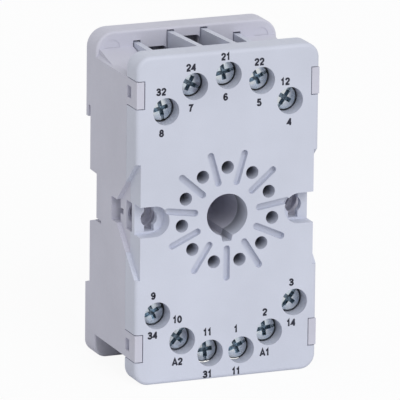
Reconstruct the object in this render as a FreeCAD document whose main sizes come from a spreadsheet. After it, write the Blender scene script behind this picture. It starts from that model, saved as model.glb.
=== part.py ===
"""Eleven-pin plug-in relay socket for a 35 mm rail or a panel, as a parametric document.

The frame is millimetres: the origin is the centre of the relay's key hole on the
front face, +X is to the right as the front is seen, +Y goes in towards the rail and
+Z is up. Depths are therefore y values, counted from the front face.
"""
import FreeCAD, Part
import math
import os
import Sketcher

V = FreeCAD.Vector

# Driving dimensions
DIMENSIONS = [
    # outer form
    ("body_width", 38.0), ("body_height", 65.6), ("body_depth", 26.9),
    ("cover_depth", 5.2), ("cover_corner", 3.0), ("cover_edge_round", 0.8),
    ("seam_gap", 0.05), ("rear_plate_front", 21.5), ("rear_corner", 3.8), ("rear_low_corner", 2.6),
    ("side_wall_height", 55.8), ("side_wall", 1.7), ("plate_round", 0.5),
    # cover shell
    ("cover_plate", 3.1), ("cover_skirt", 1.6), ("cover_hook_wall", 2.8),
    ("collar_radius", 6.0), ("boss_radius", 2.1),
    # relay interface
    ("pin_circle", 19.05), ("pin_hole_radius", 1.3), ("pin_count", 11),
    ("key_bore_radius", 4.25), ("key_bore_depth", 16.5), ("key_slot_width", 2.3),
    ("key_slot_tip", 1.8), ("key_slot_reach", 5.25),
    # decorative grooves between the pin holes
    ("groove_inner", 6.1), ("groove_outer", 13.2), ("groove_width", 1.35),
    ("groove_depth", 1.1),
    # panel screw positions at the sides
    ("panel_spacing", 30.16), ("panel_hole_radius", 1.7), ("panel_slot_width", 2.0),
    ("panel_slot_height", 5.3), ("screw_well_radius", 3.06), ("well_wall", 0.8), ("lug_front", 3.1),
    ("lug_rear", 4.45), ("side_window_rear", 7.4), ("side_window_height", 5.8),
    ("side_window_reach", 7.1), ("head_pocket_radius", 2.6), ("head_pocket_depth", 1.4),
    # side recess for a relay clip
    ("clip_recess", 0.94), ("clip_recess_height", 23.1), ("clip_recess_neck", 4.8),
    ("clip_recess_start", 0.6), ("clip_recess_rear", 10.0), ("clip_slot_front", 10.35),
    ("clip_slot_rear", 12.9), ("clip_slot_height", 4.75), ("clip_slot_reach", 3.0),
    ("clip_notch_front", 8.9), ("clip_notch_height", 1.15),
    # snap hooks
    ("hook_outer", 27.9), ("hook_height", 5.3), ("hook_thickness", 1.55), ("hook_gap", 0.18),
    ("hook_window_front", 3.0), ("hook_window_rear", 5.0), ("hook_window_height", 2.4),
    ("catch_gap", 0.12), ("catch_recess", 1.0),
    # rail seat
    ("rail_height", 35.0), ("rail_play", 0.4), ("rail_plane", 24.3), ("rail_flange", 1.0),
    ("lip_groove_gap", 0.1), ("lip_overlap", 2.4), ("notch_height", 10.4),
    ("notch_front", 20.8), ("notch_offset", -0.3), ("foot_slope", 1.2),
    ("relief_front", 18.3), ("relief_height", 0.6),
    # terminals
    ("top_mid_z", 27.8), ("top_inner_x", 6.97), ("top_inner_z", 26.2),
    ("top_outer_x", 12.9), ("top_outer_z", 21.7), ("low_inner_x", 3.25),
    ("low_inner_z", 27.47), ("low_mid_x", 9.15), ("low_mid_z", 24.43),
    ("low_outer_x", 14.36), ("low_outer_z", 18.88), ("terminal_hole_radius", 2.7),
    # terminal seats and wire chambers
    ("seat_front", 6.8), ("seat_rear", 11.5),
    ("top_chamber", 18.4), ("low_chamber", 15.9), ("mouth_margin", 3.0),
    ("hood_rear", 24.6), ("hood_foot", 20.0), ("hood_corner", 0.8), ("ramp_front", 10.0),
    ("ramp_start", 26.9), ("ramp_end", 29.8), ("ejector_x", 15.6), ("ejector_z", 29.7),
    ("ejector_radius", 1.5), ("ejector_depth", 0.12),
    # partition ribs of the cover
    ("rib_inner_x", 3.5), ("rib_outer_x", 10.5), ("rib_width", 1.2), ("rib_rear", 22.4),
    ("rib_gap", 0.2), ("rib_inner_foot", 22.5), ("rib_outer_foot", 25.2),
    ("rib_top_front", 32.6), ("rib_top_rear", 31.9), ("rib_outer_top", 30.3),
    ("low_rib_x", 6.2), ("low_rib_outer_x", 12.1), ("low_rib_width", 0.5),
    ("low_rib_foot", 22.4), ("low_rib_top", 31.4), ("low_rib_rear", 21.2),
    # contacts
    ("strip_thickness", 0.8), ("strip_width", 2.8), ("channel_gap", 0.15),
    ("pad_size", 4.8), ("sleeve_outer", 1.8), ("sleeve_length", 11.0),
    ("sleeve_slit", 0.5), ("sleeve_cavity", 1.95), ("sleeve_spare", 0.6),
    ("collar_outer", 1.95), ("thread_collar_length", 1.8), ("thread_play", 0.06),
    ("collar_hole", 2.1),
    # terminal screws and clamps
    ("screw_radius", 1.45), ("screw_length", 6.2), ("thread_point", 0.4), ("head_radius", 2.55),
    ("head_height", 2.05), ("head_edge", 1.85), ("cross_width", 0.85), ("cross_length", 3.1),
    ("cross_depth", 1.1), ("slot_width", 0.6), ("slot_depth", 0.5), ("head_clamp_gap", 0.02),
    ("clamp_size", 4.8), ("clamp_thickness", 1.0), ("clamp_play", 0.08), ("clamp_chamfer", 0.5),
    ("wire_groove_radius", 1.1), ("wire_groove_depth", 0.3), ("wire_groove_x", 1.7),
    # rail latch and its spring
    ("latch_width", 9.8), ("latch_flange_width", 12.2), ("latch_flange_thickness", 2.1),
    ("latch_gap", 0.08), ("latch_channel_front", 22.4), ("latch_rear_inset", 0.2),
    ("latch_top", 18.2), ("latch_bottom", 31.9), ("latch_nose_overlap", 1.2),
    ("latch_window_width", 4.6), ("latch_window_top", 21.0),
    ("peg_top", 27.0), ("peg_height", 2.0), ("peg_width", 4.0), ("peg_gap", 0.2),
    ("peg_length", 3.4), ("latch_nose_chamfer", 0.9),
    ("spring_radius", 1.5), ("spring_wire", 0.22), ("spring_turns", 7),
]

doc = FreeCAD.newDocument("relay_socket")
sheet = doc.addObject("Spreadsheet::Sheet", "dims")
for row, (alias, number) in enumerate(DIMENSIONS, start=1):
    sheet.set(f"A{row}", alias)
    sheet.set(f"B{row}", str(number))
    sheet.setAlias(f"B{row}", alias)
doc.recompute()


class Size:
    """A length that knows its number and the sheet expression that gives it."""

    def __init__(self, number, text):
        self.number = float(number)
        self.text = text

    def _join(self, other, sign, number):
        return Size(number, f"({self.text} {sign} {as_size(other).text})")

    def __add__(self, other):
        return self._join(other, "+", self.number + as_size(other).number)

    def __sub__(self, other):
        return self._join(other, "-", self.number - as_size(other).number)

    def __mul__(self, other):
        return self._join(other, "*", self.number * as_size(other).number)

    def __truediv__(self, other):
        return self._join(other, "/", self.number / as_size(other).number)

    def __radd__(self, other):
        return as_size(other) + self

    def __rsub__(self, other):
        return as_size(other) - self

    def __neg__(self):
        return Size(-self.number, f"(-{self.text})")


def as_size(value):
    """A plain number becomes a Size whose expression is that number."""
    return value if isinstance(value, Size) else Size(value, repr(float(value)))


def dim(alias):
    """The size in the sheet's cell of this alias."""
    return Size(sheet.get(alias), f"dims.{alias}")


def num(alias):
    """The number in the sheet's cell of this alias."""
    return float(sheet.get(alias))


# Sizes that several pieces share
half_width = dim("body_width") / 2
half_height = dim("body_height") / 2
wall_half = dim("side_wall_height") / 2
wall_front = dim("cover_depth") + dim("seam_gap")
wall_inner = half_width - dim("side_wall")
hook_inner = half_width - dim("hook_thickness")
hook_low = dim("hook_outer") - dim("hook_height")
panel_x = dim("panel_spacing") / 2
recess_x = half_width - dim("clip_recess")
rail_top = (dim("rail_height") + dim("rail_play")) / 2
lip_inner = dim("rail_plane") + dim("rail_flange") + dim("lip_groove_gap")
strip_front = dim("seat_front") - dim("strip_thickness")
PIN_STEP = 360.0 / num("pin_count")

# Terminal centres by contact number, seen from the front
TERMINALS = {
    1: (dim("low_inner_x"), -dim("low_inner_z")),
    2: (dim("low_mid_x"), -dim("low_mid_z")),
    3: (dim("low_outer_x"), -dim("low_outer_z")),
    4: (dim("top_outer_x"), dim("top_outer_z")),
    5: (dim("top_inner_x"), dim("top_inner_z")),
    6: (as_size(0), dim("top_mid_z")),
    7: (-dim("top_inner_x"), dim("top_inner_z")),
    8: (-dim("top_outer_x"), dim("top_outer_z")),
    9: (-dim("low_outer_x"), -dim("low_outer_z")),
    10: (-dim("low_mid_x"), -dim("low_mid_z")),
    11: (-dim("low_inner_x"), -dim("low_inner_z")),
}
# Each terminal screw came to rest at its own angle: its slot's, anticlockwise from +X
SCREW_ANGLES = {1: 22, 2: 8, 3: 50, 4: 57, 5: 22, 6: 12, 7: -27, 8: 104, 9: 24, 10: 52, 11: 95}


def pin_angle(number):
    """Angle of a pin, counted anticlockwise from the key, in degrees from +X."""
    return -90.0 + PIN_STEP * (number - 0.5)


# Helpers for sketches and features
def plane_of(body, role):
    """The body's own origin plane or axis with this role."""
    for feature in body.Origin.OriginFeatures:
        if feature.Role == role:
            return feature
    raise ValueError(role)


def sketch_on(body, name, role, offset):
    """An empty sketch on an origin plane, moved along its normal by offset."""
    sketch = body.newObject("Sketcher::SketchObject", name)
    sketch.AttachmentSupport = [(plane_of(body, role), "")]
    sketch.MapMode = "FlatFace"
    offset = as_size(offset)
    sketch.AttachmentOffset = FreeCAD.Placement(V(0, 0, offset.number), FreeCAD.Rotation())
    sketch.setExpression("AttachmentOffset.Base.z", offset.text)
    return sketch


def pin_down(sketch, geometry, point, across, up):
    """Holds a sketch point at its two distances from the origin."""
    for kind, size in (("DistanceX", across), ("DistanceY", up)):
        index = sketch.addConstraint(
            Sketcher.Constraint(kind, -1, 1, geometry, point, size.number))
        sketch.setExpression(f"Constraints[{index}]", size.text)


def add_circle(sketch, across, up, radius):
    """A circle held by its centre and radius."""
    across, up, radius = as_size(across), as_size(up), as_size(radius)
    centre = V(across.number, up.number, 0)
    geometry = sketch.addGeometry(Part.Circle(centre, V(0, 0, 1), radius.number))
    pin_down(sketch, geometry, 3, across, up)
    index = sketch.addConstraint(Sketcher.Constraint("Radius", geometry, radius.number))
    sketch.setExpression(f"Constraints[{index}]", radius.text)


def near(value, target):
    """Whether two lengths agree within a hundredth of a millimetre."""
    return abs(value - target) < 0.01


def arc_between(start, end, radius):
    """The shorter arc from start to end that bulges to the right of the way between them."""
    chord = end - start
    middle = (start + end) * 0.5
    left = V(-chord.y, chord.x, 0).normalize()
    rise = math.sqrt(max(radius ** 2 - (chord.Length / 2) ** 2, 0.0))
    centre = middle + left * rise
    top = centre - left * radius
    return Part.Arc(start, top, end)


def add_outline(sketch, corners):
    """A closed outline, anticlockwise. A corner is (across, up) or, where a round
    stretch starts, (across, up, radius)."""
    points = [tuple(as_size(value) for value in corner) for corner in corners]
    spots = [V(point[0].number, point[1].number, 0) for point in points]
    shapes = []
    for index, point in enumerate(points):
        start, end = spots[index], spots[(index + 1) % len(spots)]
        if len(point) == 3:
            shapes.append(arc_between(start, end, point[2].number))
        else:
            shapes.append(Part.LineSegment(start, end))
    first = sketch.addGeometry(shapes)[0]
    count = len(points)
    for index, point in enumerate(points):
        this, following = first + index, first + (index + 1) % count
        sketch.addConstraint(Sketcher.Constraint("Coincident", this, 2, following, 1))
        pin_down(sketch, this, 1, point[0], point[1])
        if len(point) < 3:
            continue
        chord = spots[(index + 1) % count] - spots[index]
        if near(chord.Length, 2 * point[2].number):
            kind, size = ("DistanceY", point[1]) if near(chord.y, 0) else (
                "DistanceX", point[0])
            held = sketch.addConstraint(
                Sketcher.Constraint(kind, -1, 1, this, 3, size.number))
        else:
            size = point[2]
            held = sketch.addConstraint(Sketcher.Constraint("Radius", this, size.number))
        sketch.setExpression(f"Constraints[{held}]", size.text)


def add_box(sketch, left, right, low, high):
    """A rectangle between two distances across and two up."""
    add_outline(sketch, [(left, low), (right, low), (right, high), (left, high)])


def round_box(left, right, low, high, radius, low_radius=None):
    """Corners of a rectangle with rounded corners, the lower two by their own radius."""
    left, right, low, high = (as_size(value) for value in (left, right, low, high))
    foot = low_radius or radius
    return [
        (left + foot, low), (right - foot, low, foot),
        (right, low + foot), (right, high - radius, radius),
        (right - radius, high), (left + radius, high, radius),
        (left, high - radius), (left, low + foot, foot),
    ]


def extrude(body, kind, name, sketch, length, reverse=False, both_ways=False):
    """A pad or pocket of a sketch, its length bound to the sheet."""
    feature = body.newObject(f"PartDesign::{kind}", name)
    feature.Profile = sketch
    length = as_size(length)
    feature.Length = length.number
    feature.setExpression("Length", length.text)
    feature.Reversed = reverse
    feature.Midplane = both_ways
    sketch.Visibility = False
    doc.recompute()
    return feature


def pad_back(body, name, start, length, draw):
    """Material from the depth start, length further back."""
    sketch = sketch_on(body, f"{name}_sketch", "XZ_Plane", -as_size(start))
    draw(sketch)
    return extrude(body, "Pad", name, sketch, length, reverse=True)


def cut_back(body, name, start, length, draw):
    """A cut from the depth start, length further back."""
    sketch = sketch_on(body, f"{name}_sketch", "XZ_Plane", -as_size(start))
    draw(sketch)
    return extrude(body, "Pocket", name, sketch, length)


def cut_sideways(body, name, start, length, draw):
    """A cut on both sides, from the distance start off the middle and outwards."""
    features = []
    for side, sign in (("right", 1), ("left", -1)):
        sketch = sketch_on(body, f"{name}_{side}_sketch", "YZ_Plane", as_size(start) * sign)
        draw(sketch)
        features.append(
            extrude(body, "Pocket", f"{name}_{side}", sketch, length, reverse=sign > 0))
    return features


def around_key(body, name, feature):
    """Repeats a feature once for each pin about the key hole's axis."""
    pattern = body.newObject("PartDesign::PolarPattern", name)
    pattern.Originals = [feature]
    pattern.Axis = (plane_of(body, "Y_Axis"), [""])
    pattern.Angle = 360.0
    pattern.Occurrences = int(num("pin_count"))
    pattern.setExpression("Occurrences", "dims.pin_count")
    body.Tip = pattern
    doc.recompute()
    return pattern


def new_body(label):
    """An empty body whose label names its file."""
    body = doc.addObject("PartDesign::Body", label)
    body.Label = label
    return body


def round_edges(body, name, base, edges, radius):
    """A fillet of the named edges, its radius bound to the sheet."""
    fillet = body.newObject("PartDesign::Fillet", name)
    fillet.Base = (base, edges)
    radius = as_size(radius)
    fillet.Radius = radius.number
    fillet.setExpression("Radius", radius.text)
    doc.recompute()
    return fillet


def edges_where(feature, test):
    """Names of the edges of a feature whose bounding box passes the test."""
    edges = feature.Shape.Edges
    return [f"Edge{index}" for index, edge in enumerate(edges, start=1)
            if test(edge.BoundBox)]


# Outlines that the cover and the base share
def key_outline():
    """The key hole's slot below its bore, wider at the bore than at its tip."""
    mouth, tip = dim("key_slot_width") / 2, dim("key_slot_tip") / 2
    reach, overlap = dim("key_slot_reach"), dim("key_bore_radius") / 2
    return [(-tip, -reach), (tip, -reach), (mouth, -dim("key_bore_radius")),
            (mouth, -overlap), (-mouth, -overlap), (-mouth, -dim("key_bore_radius"))]


def clip_outline():
    """The sunken triangle on each side, wide at the front and narrow at the clip slot."""
    wide, neck = dim("clip_recess_height") / 2, dim("clip_recess_neck") / 2
    front, start = as_size(-1), dim("clip_recess_start")
    rear, slot = dim("clip_recess_rear"), dim("clip_slot_front")
    return [(front, -wide), (start, -wide), (rear, -neck), (slot, -neck),
            (slot, neck), (rear, neck), (start, wide), (front, wide)]


def hook_boxes(sketch, sign, spare, beyond):
    """The outlines of the two hooks at one end, grown by spare and reaching beyond."""
    inner, outer = hook_inner - spare, half_width + beyond
    low, high = hook_low - spare, dim("hook_outer") + spare
    for side in (1, -1):
        left, right = (inner, outer) if side > 0 else (-outer, -inner)
        bottom, top = (low, high) if sign > 0 else (-high, -low)
        add_box(sketch, left, right, bottom, top)


def rib_places():
    """Each rib: middle x, width, foot, top at the cover and at the rear, rear y, end."""
    width, low_width = dim("rib_width"), dim("low_rib_width")
    outer_top, low_top = dim("rib_outer_top"), dim("low_rib_top")
    rear, low_rear, low_foot = dim("rib_rear"), dim("low_rib_rear"), dim("low_rib_foot")
    places = []
    for side in (1, -1):
        places.append((dim("rib_inner_x") * side, width, dim("rib_inner_foot"),
                       dim("rib_top_front"), dim("rib_top_rear"), rear, 1))
        places.append((dim("rib_outer_x") * side, width, dim("rib_outer_foot"),
                       outer_top, outer_top, rear, 1))
        places.append((dim("low_rib_x") * side, low_width, low_foot, low_top, low_top,
                       low_rear, -1))
        places.append((dim("low_rib_outer_x") * side, low_width, low_foot, outer_top,
                       outer_top, low_rear, -1))
    places.append((as_size(0), low_width, low_foot, low_top, low_top, low_rear, -1))
    return places


def capsule(sketch, half_breadth, near_end, far_end):
    """A slot with round ends below the origin, from near_end down to far_end."""
    low, high = -(far_end - half_breadth), -(near_end + half_breadth)
    add_outline(sketch, [(-half_breadth, low, half_breadth), (half_breadth, low),
                         (half_breadth, high, half_breadth), (-half_breadth, high)])


def well_outline(side, radius):
    """A round-ended well about a panel screw, open towards the side."""
    out = (half_width + 1) * side
    across, rise = panel_x * side, radius * side
    return [(out, -rise), (out, rise), (across, rise, radius), (across, -rise)]


def add_panel_slots(sketch):
    """The slots that cross the panel screw holes of the lugs."""
    breadth, rise = dim("panel_slot_width") / 2, dim("panel_slot_height") / 2
    for side in (1, -1):
        middle = panel_x * side
        add_box(sketch, middle - breadth, middle + breadth, -rise, rise)


def add_panel_circles(sketch, radius):
    """A circle about each panel screw."""
    for side in (1, -1):
        add_circle(sketch, panel_x * side, 0, radius)


def add_side_windows(sketch):
    """The windows behind the lugs, open towards the sides."""
    rise = dim("side_window_height") / 2
    inner, outer = half_width - dim("side_window_reach"), half_width + 1
    add_box(sketch, inner, outer, -rise, rise)
    add_box(sketch, -outer, -inner, -rise, rise)


def add_hook_windows(sketch):
    """The windows of the hooks, in the outline seen from the side."""
    middle = dim("hook_outer") - dim("hook_height") / 2
    rise = dim("hook_window_height") / 2
    for sign in (1, -1):
        add_box(sketch, dim("hook_window_front"), dim("hook_window_rear"),
                middle * sign - rise, middle * sign + rise)


def pin_spot(number):
    """Where a pin's axis crosses the front face."""
    reach, angle = dim("pin_circle") / 2, math.radians(pin_angle(number))
    return reach * math.cos(angle), reach * math.sin(angle)


def strip_outline(number, half_breadth):
    """The straight way from a pin to its terminal, as a turned rectangle."""
    pin_across, pin_up = pin_spot(number)
    end_across, end_up = TERMINALS[number]
    angle = math.atan2(end_up.number - pin_up.number, end_across.number - pin_across.number)
    over, up = half_breadth * -math.sin(angle), half_breadth * math.cos(angle)
    return [(pin_across - over, pin_up - up), (end_across - over, end_up - up),
            (end_across + over, end_up + up), (pin_across + over, pin_up + up)]


def build_front_cover():
    """The moulded front: a plate with a skirt, the relay's holes, screw wells and ribs."""
    body = new_body("front_cover")
    corner, plate = dim("cover_corner"), dim("cover_plate")
    shell = pad_back(body, "cover_block", 0, dim("cover_depth"), lambda sketch: add_outline(
        sketch, round_box(-half_width, half_width, -half_height, half_height, corner)))
    rim = edges_where(shell, lambda box: near(box.YMin, 0) and near(box.YMax, 0))
    round_edges(body, "front_edge", shell, rim, dim("cover_edge_round"))

    top = half_height - dim("cover_skirt")
    side = half_width - dim("cover_skirt")
    hook_side = half_width - dim("cover_hook_wall")
    hook_start = hook_low - dim("cover_skirt") / 2
    island_x = panel_x - dim("screw_well_radius") - dim("well_wall")
    island_z = dim("screw_well_radius") + dim("well_wall")
    rising = [
        (hook_side - corner, -top), (hook_side, corner - top), (hook_side, -hook_start),
        (side, -hook_start), (side, -island_z), (island_x, -island_z),
        (island_x, island_z), (side, island_z), (side, hook_start),
        (hook_side, hook_start), (hook_side, top - corner), (hook_side - corner, top)]
    around = rising + [(-across, up) for across, up in reversed(rising)]

    depth = dim("cover_depth") - plate
    cut_back(body, "underside_hollow", plate, depth,
             lambda sketch: add_outline(sketch, around))
    pad_back(body, "key_collar", plate, depth,
             lambda sketch: add_circle(sketch, 0, 0, dim("collar_radius")))
    boss = pad_back(body, "pin_boss", plate, depth, lambda sketch: add_circle(
        sketch, *pin_spot(1), dim("boss_radius")))
    around_key(body, "pin_bosses", boss)

    for index, (middle, width, foot, top_front, top_rear, rear, sign) in enumerate(
            rib_places(), 1):
        sketch = sketch_on(body, f"rib_{index}_sketch", "YZ_Plane", middle)
        corners = [(plate, foot), (rear, foot), (rear, top_rear),
                   (dim("cover_depth"), top_front), (plate, top_front)]
        if sign < 0:
            corners = [(y, -z) for y, z in reversed(corners)]
        add_outline(sketch, corners)
        extrude(body, "Pad", f"rib_{index}", sketch, width, both_ways=True)

    cut_back(body, "key_bore", 0, dim("cover_depth"),
             lambda sketch: add_circle(sketch, 0, 0, dim("key_bore_radius")))
    cut_back(body, "key_slot", 0, dim("cover_depth"),
             lambda sketch: add_outline(sketch, key_outline()))
    hole = cut_back(body, "pin_hole", 0, dim("cover_depth"), lambda sketch: add_circle(
        sketch, *pin_spot(1), dim("pin_hole_radius")))
    around_key(body, "pin_holes", hole)

    def terminal_holes(sketch):
        for across, up in TERMINALS.values():
            add_circle(sketch, across, up, dim("terminal_hole_radius"))
    cut_back(body, "terminal_holes", 0, plate, terminal_holes)
    groove = cut_back(body, "groove", 0, dim("groove_depth"), lambda sketch: capsule(
        sketch, dim("groove_width") / 2, dim("groove_inner"), dim("groove_outer")))
    around_key(body, "grooves", groove)

    def wells(sketch):
        for side_sign in (1, -1):
            add_outline(sketch, well_outline(side_sign, dim("screw_well_radius")))
    cut_back(body, "screw_wells", 0, dim("lug_front"), wells)
    cut_back(body, "lug_windows", dim("lug_rear"), dim("cover_depth") - dim("lug_rear"),
             add_side_windows)
    lug = dim("lug_rear") - dim("lug_front")
    cut_back(body, "lug_holes", dim("lug_front"), lug,
             lambda sketch: add_panel_circles(sketch, dim("panel_hole_radius")))
    cut_back(body, "lug_slots", dim("lug_front"), lug, add_panel_slots)
    cut_sideways(body, "clip_recess", recess_x, dim("clip_recess") + 1,
                 lambda sketch: add_outline(sketch, clip_outline()))

    def hook_slots(sketch):
        for sign in (1, -1):
            hook_boxes(sketch, sign, dim("hook_gap"), 1)
    cut_back(body, "hook_slots", 0, dim("cover_depth"), hook_slots)

    front, rear = dim("hook_window_front"), dim("hook_window_rear")
    middle = dim("hook_outer") - dim("hook_height") / 2
    rise, gap = dim("hook_window_height") / 2, dim("catch_gap")
    nub_outer = half_width - dim("catch_recess")
    for side_sign in (1, -1):
        for sign in (1, -1):
            name = f"catch_{'right' if side_sign > 0 else 'left'}_{'top' if sign > 0 else 'low'}"
            ends = [(nub_outer - 2) * side_sign, nub_outer * side_sign]
            left, right = ends if side_sign > 0 else reversed(ends)
            pad_back(body, name, front + gap, rear - front - gap * 2,
                     lambda sketch, left=left, right=right, sign=sign: add_box(
                         sketch, left, right, middle * sign - rise + gap,
                         middle * sign + rise - gap))
    return body


def build_base_housing():
    """The moulded base: walls, core, terminal seats, hooks, rail seat and latch channel."""
    body = new_body("base_housing")
    plate_front = dim("rear_plate_front")
    plate = pad_back(body, "rear_plate", plate_front, dim("body_depth") - plate_front,
                     lambda sketch: add_outline(sketch, round_box(
                         -half_width, half_width, -half_height, half_height,
                         dim("rear_corner"), dim("rear_low_corner"))))
    rims = edges_where(plate, lambda box: near(box.YMin, box.YMax))
    round_edges(body, "plate_edges", plate, rims, dim("plate_round"))
    block = dim("rear_plate_front") - wall_front
    pad_back(body, "wall_block", wall_front, block + 1,
             lambda sketch: add_box(sketch, -half_width, half_width, -wall_half, wall_half))
    beyond = half_height + 1
    cut_back(body, "top_chamber_cut", wall_front, block, lambda sketch: add_box(
        sketch, -wall_inner, wall_inner, dim("top_chamber"), beyond))
    cut_back(body, "low_chamber_cut", wall_front, block, lambda sketch: add_box(
        sketch, -wall_inner, wall_inner, -beyond, -dim("low_chamber")))

    # terminal seats, parted by the slots of the ribs
    rib_half = dim("rib_width") / 2 + dim("rib_gap")
    low_half = dim("low_rib_width") / 2 + dim("rib_gap")
    inner_x, outer_x = dim("rib_inner_x"), dim("rib_outer_x")
    low_x, low_outer_x = dim("low_rib_x"), dim("low_rib_outer_x")
    margin = dim("mouth_margin")
    top_foot, low_foot = dim("top_chamber") - 1, -dim("low_chamber") + 1
    mid_top = dim("top_mid_z") + margin
    inner_top = dim("top_inner_z") + margin

    def seats(sketch):
        add_box(sketch, rib_half - inner_x, inner_x - rib_half, top_foot, mid_top)
        for side in (1, -1):
            spans = [
                (inner_x + rib_half, outer_x - rib_half, top_foot, inner_top),
                (low_half, low_x - low_half, -dim("low_inner_z") - margin, low_foot),
                (low_x + low_half, low_outer_x - low_half, -dim("low_mid_z") - margin,
                 low_foot),
                (low_outer_x + low_half, wall_inner + 1, -dim("low_outer_z") - margin,
                 low_foot),
            ]
            for near_x, far_x, low, high in spans:
                left, right = (near_x, far_x) if side > 0 else (-far_x, -near_x)
                add_box(sketch, left, right, low, high)
    pad_back(body, "terminal_seats", dim("seat_front"),
             dim("seat_rear") - dim("seat_front"), seats)

    seat_top = dim("top_outer_z") + margin
    for side, name in ((1, "right"), (-1, "left")):
        start = (outer_x + rib_half) * side
        sketch = sketch_on(body, f"corner_ramp_{name}_sketch", "YZ_Plane", start)
        add_outline(sketch, [
            (dim("seat_front"), top_foot), (plate_front + 1, top_foot),
            (plate_front + 1, dim("ramp_end")), (dim("ramp_front"), dim("ramp_start")),
            (dim("ramp_front"), seat_top), (dim("seat_front"), seat_top)])
        extrude(body, "Pad", f"corner_ramp_{name}", sketch,
                wall_inner + 1 - outer_x - rib_half, reverse=side < 0)

    # fans that carry the corner ramps out over the side walls
    rise = (dim("ramp_end") - dim("ramp_start")) / (plate_front + 1 - dim("ramp_front"))
    fan_start = dim("ramp_front") + (wall_half - dim("ramp_start")) / rise
    fan_rear = plate_front + 0.5
    fan_top = dim("ramp_start") + (fan_rear - dim("ramp_front")) * rise
    for side, name in ((1, "right"), (-1, "left")):
        sections = []
        for index, (across, top) in enumerate(
                ((wall_inner - 0.1, fan_top), (half_width - 0.1, wall_half + 0.05)), 1):
            sketch = sketch_on(body, f"fan_{name}_{index}", "YZ_Plane", across * side)
            add_outline(sketch, [
                (fan_start, wall_half - 0.3), (fan_rear, wall_half - 0.3),
                (fan_rear, top), (fan_start, wall_half)])
            sketch.Visibility = False
            sections.append(sketch)
        fan = body.newObject("PartDesign::AdditiveLoft", f"fan_{name}")
        fan.Profile = sections[0]
        fan.Sections = [sections[1]]
        fan.Ruled = True
        doc.recompute()

    def ejector_marks(sketch):
        for side in (1, -1):
            add_circle(sketch, dim("ejector_x") * side, dim("ejector_z"),
                       dim("ejector_radius"))
    cut_back(body, "ejector_marks", plate_front, dim("ejector_depth"), ejector_marks)

    # hollows in the rear plate behind the top wire mouths, and slots for the ribs
    corner, foot = dim("hood_corner"), dim("hood_foot")
    hood_depth = dim("hood_rear") - plate_front

    def hoods(sketch):
        add_outline(sketch, round_box(rib_half - inner_x, inner_x - rib_half, foot,
                                      mid_top, corner))
        for side in (1, -1):
            near_x, far_x = inner_x + rib_half, outer_x - rib_half
            left, right = (near_x, far_x) if side > 0 else (-far_x, -near_x)
            add_outline(sketch, round_box(left, right, foot, inner_top, corner))
    cut_back(body, "hood_hollows", plate_front, hood_depth, hoods)

    def rib_slots(sketch):
        for side in (1, -1):
            for middle, top in ((inner_x, dim("rib_top_rear")),
                                (outer_x, dim("rib_outer_top"))):
                add_box(sketch, middle * side - rib_half, middle * side + rib_half,
                        foot, top + dim("rib_gap") * 2)
    cut_back(body, "rib_slots", plate_front, dim("rib_rear") - plate_front + dim("rib_gap"),
             rib_slots)

    # seats of the contacts
    gap = dim("channel_gap")
    channel = dim("seat_front") - wall_front
    for number in TERMINALS:
        cut_back(body, f"channel_{number}", wall_front, channel,
                 lambda sketch, number=number: add_outline(
                     sketch, strip_outline(number, dim("strip_width") / 2 + gap)))
    cavity_depth = channel + dim("sleeve_length") + dim("sleeve_spare")
    cavity = cut_back(body, "sleeve_cavity_cut", wall_front, cavity_depth,
                      lambda sketch: add_circle(sketch, *pin_spot(1), dim("sleeve_cavity")))
    around_key(body, "sleeve_cavities", cavity)

    def collar_holes(sketch):
        for across, up in TERMINALS.values():
            add_circle(sketch, across, up, dim("collar_hole"))
    cut_back(body, "collar_holes", dim("seat_front"), dim("seat_rear") - dim("seat_front"),
             collar_holes)
    bore = dim("key_bore_depth") - wall_front
    cut_back(body, "key_bore", wall_front, bore,
             lambda sketch: add_circle(sketch, 0, 0, dim("key_bore_radius")))
    cut_back(body, "key_slot", wall_front, bore,
             lambda sketch: add_outline(sketch, key_outline()))

    # sides: panel screw holes, windows, clip recess and clip slot
    cut_back(body, "side_windows", wall_front, dim("side_window_rear") - wall_front,
             add_side_windows)
    cut_back(body, "head_pockets", dim("side_window_rear"), dim("head_pocket_depth"),
             lambda sketch: add_panel_circles(sketch, dim("head_pocket_radius")))
    cut_back(body, "panel_holes", wall_front, dim("notch_front") - wall_front + 1,
             lambda sketch: add_panel_circles(sketch, dim("panel_hole_radius")))
    cut_sideways(body, "clip_recess", recess_x, dim("clip_recess") + 1,
                 lambda sketch: add_outline(sketch, clip_outline()))
    rise, notch_rise = dim("clip_slot_height") / 2, dim("clip_notch_height") / 2
    reach = dim("clip_slot_reach")
    cut_sideways(body, "clip_slot", half_width - reach, reach + 1,
                 lambda sketch: add_box(sketch, dim("clip_slot_front"),
                                        dim("clip_slot_rear"), -rise, rise))
    cut_sideways(body, "clip_notch", half_width - reach, reach + 1,
                 lambda sketch: add_box(sketch, dim("clip_notch_front"),
                                        dim("clip_slot_front"), -notch_rise, notch_rise))

    # hooks that hold the cover
    def hooks(sketch):
        for sign in (1, -1):
            hook_boxes(sketch, sign, 0, 0)
    pad_back(body, "hooks", dim("seam_gap"), wall_front - dim("seam_gap") + 1, hooks)
    cut_sideways(body, "hook_windows", hook_inner - 0.2, dim("hook_thickness") + 1,
                 add_hook_windows)

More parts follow.
